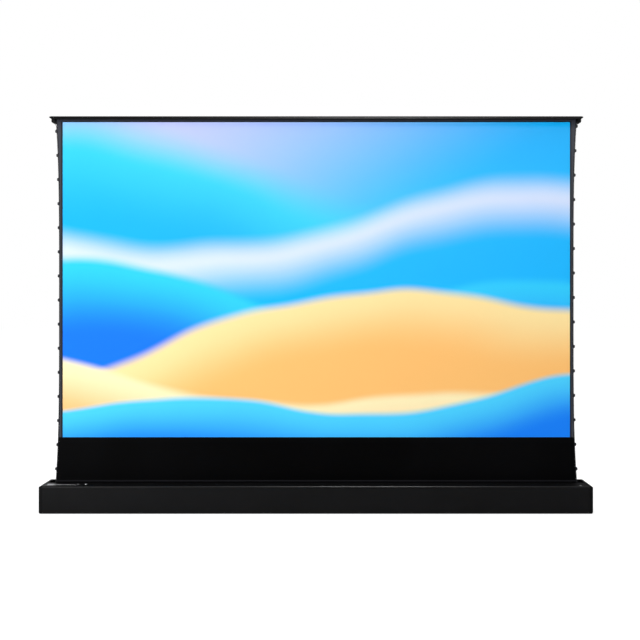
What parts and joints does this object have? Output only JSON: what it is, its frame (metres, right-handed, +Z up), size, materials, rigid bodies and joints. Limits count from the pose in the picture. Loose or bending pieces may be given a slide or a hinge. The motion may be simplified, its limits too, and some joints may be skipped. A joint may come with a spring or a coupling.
{
  "type": "pull up projection screen",
  "caption": "Floor-standing motorised pull-up projection screen: a long low housing, a tab-tensioned cloth under a top bar, and two folding arms behind it.",
  "frame": {"origin": "middle of the housing's footprint on the floor", "axes": "+X to the right along the housing, the picture faces -Y, +Z up"},
  "size_m": [3.44, 0.184, 2.4905],
  "materials": {
    "black_shell": "black anodised, satin",
    "black_moulding": "satin black moulding",
    "black_rubber": "matt",
    "dark_steel": "black powder coat",
    "plain_steel": "bright turned",
    "black_alloy": "black anodised",
    "bare_metal": "mill finish",
    "screen_cloth": null,
    "black_cloth": "smooth black, half gloss",
    "edge_tape": "woven tape",
    "tension_cord": "dark braid",
    "clear_lens": "clear, polished"
  },
  "bodies": {
    "housing": {"rear_chassis": "black_shell", "front_panel": "black_shell", "top_rail": "black_shell", "left_end_cap": "black_moulding", "right_end_cap": "black_moulding", "foot_front_left": "black_rubber", "foot_front_middle": "black_rubber", "foot_front_right": "black_rubber", "foot_rear_left": "black_rubber", "foot_rear_middle": "black_rubber", "foot_rear_right": "black_rubber", "motor_bracket": "dark_steel", "idler_bracket": "dark_steel", "tubular_motor": "bare_metal", "control_box": "black_moulding", "receiver_eye": "clear_lens", "left_arm_base": "dark_steel", "left_shoulder_pin": "plain_steel", "right_arm_base": "dark_steel", "right_shoulder_pin": "plain_steel", "connector_plate": "black_moulding", "power_inlet": "black_moulding", "trigger_jack": "plain_steel"},
    "roller": {"roller_tube": "bare_metal", "drive_crown": "black_moulding", "idler_plug": "black_moulding", "drive_wheel": "black_moulding", "cloth_pack": "black_cloth"},
    "left_lower_arm": {"left_lower_tube": "black_alloy", "left_lower_shoulder_eye": "dark_steel", "left_lower_elbow_eye": "dark_steel"},
    "left_upper_arm": {"left_upper_tube": "black_alloy", "left_upper_elbow_eye": "dark_steel", "left_upper_top_eye": "dark_steel", "left_elbow_pin": "plain_steel"},
    "top_bar": {"top_bar_profile": "black_shell", "cover_strip": "black_shell", "left_end_block": "black_moulding", "right_end_block": "black_moulding", "left_top_bracket": "dark_steel", "right_top_bracket": "dark_steel", "left_top_pin": "plain_steel", "right_top_pin": "plain_steel", "viewing_surface": "screen_cloth", "black_drop": "black_cloth", "left_edge_tape": "edge_tape", "right_edge_tape": "edge_tape", "left_tension_cord": "tension_cord", "right_tension_cord": "tension_cord", "left_cord_tensioner": "dark_steel", "right_cord_tensioner": "dark_steel"},
    "right_lower_arm": {"right_lower_tube": "black_alloy", "right_lower_shoulder_eye": "dark_steel", "right_lower_elbow_eye": "dark_steel"},
    "right_upper_arm": {"right_upper_tube": "black_alloy", "right_upper_elbow_eye": "dark_steel", "right_upper_top_eye": "dark_steel", "right_elbow_pin": "plain_steel"},
    "power_rocker": {"power_rocker": "black_moulding"},
    "manual_button": {"manual_button": "black_rubber"}
  },
  "joints": [
    {"name": "arm_fold", "type": "hinge", "parent": "housing", "child": "left_lower_arm", "pos_m": [-0.4, 0.0765, 0.043], "axis": [0, -1, 0], "range_deg": [0, 78.14], "stiffness_Nm_per_rad": 260, "springref_deg": -28.65, "deforming": ["viewing_surface", "black_drop", "left_edge_tape", "right_edge_tape", "left_tension_cord", "right_tension_cord"]},
    {"name": "left_elbow", "type": "hinge", "parent": "left_lower_arm", "child": "left_upper_arm", "pos_m": [-0.61108, 0.06775, 1.2401], "axis": [0, 1, 0], "range_deg": [0, 157.2]},
    {"name": "top_bar_level", "type": "hinge", "parent": "left_upper_arm", "child": "top_bar", "pos_m": [-0.4, 0.059, 2.4372], "axis": [0, -1, 0], "range_deg": [0, 78.6]},
    {"name": "right_shoulder", "type": "hinge", "parent": "housing", "child": "right_lower_arm", "pos_m": [0.4, 0.0765, 0.043], "axis": [0, 1, 0], "range_deg": [0, 78.6]},
    {"name": "right_elbow", "type": "hinge", "parent": "right_lower_arm", "child": "right_upper_arm", "pos_m": [0.61108, 0.06775, 1.2401], "axis": [0, -1, 0], "range_deg": [0, 157.2]},
    {"name": "roller_spin", "type": "hinge", "parent": "housing", "child": "roller", "pos_m": [0, -0.002, 0.07], "axis": [-1, 0, 0], "range_deg": [0, 2980]},
    {"name": "power_switch", "type": "hinge", "parent": "housing", "child": "power_rocker", "pos_m": [-1.7097, 0.004, 0.085], "axis": [0, -1, 0], "range_deg": [0, 16]},
    {"name": "manual_press", "type": "slide", "parent": "housing", "child": "manual_button", "axis": [1, 0, 0], "range_m": [0, 0.002], "stiffness_N_per_m": 400, "springref_m": -0.001}
  ],
  "couplings": [
    {"joint": "left_elbow", "follows": "arm_fold", "ratio": 2},
    {"joint": "top_bar_level", "follows": "arm_fold", "ratio": 1},
    {"joint": "right_shoulder", "follows": "arm_fold", "ratio": 1},
    {"joint": "right_elbow", "follows": "arm_fold", "ratio": 2},
    {"joint": "roller_spin", "follows": "arm_fold", "ratio": 37.9}
  ]
}
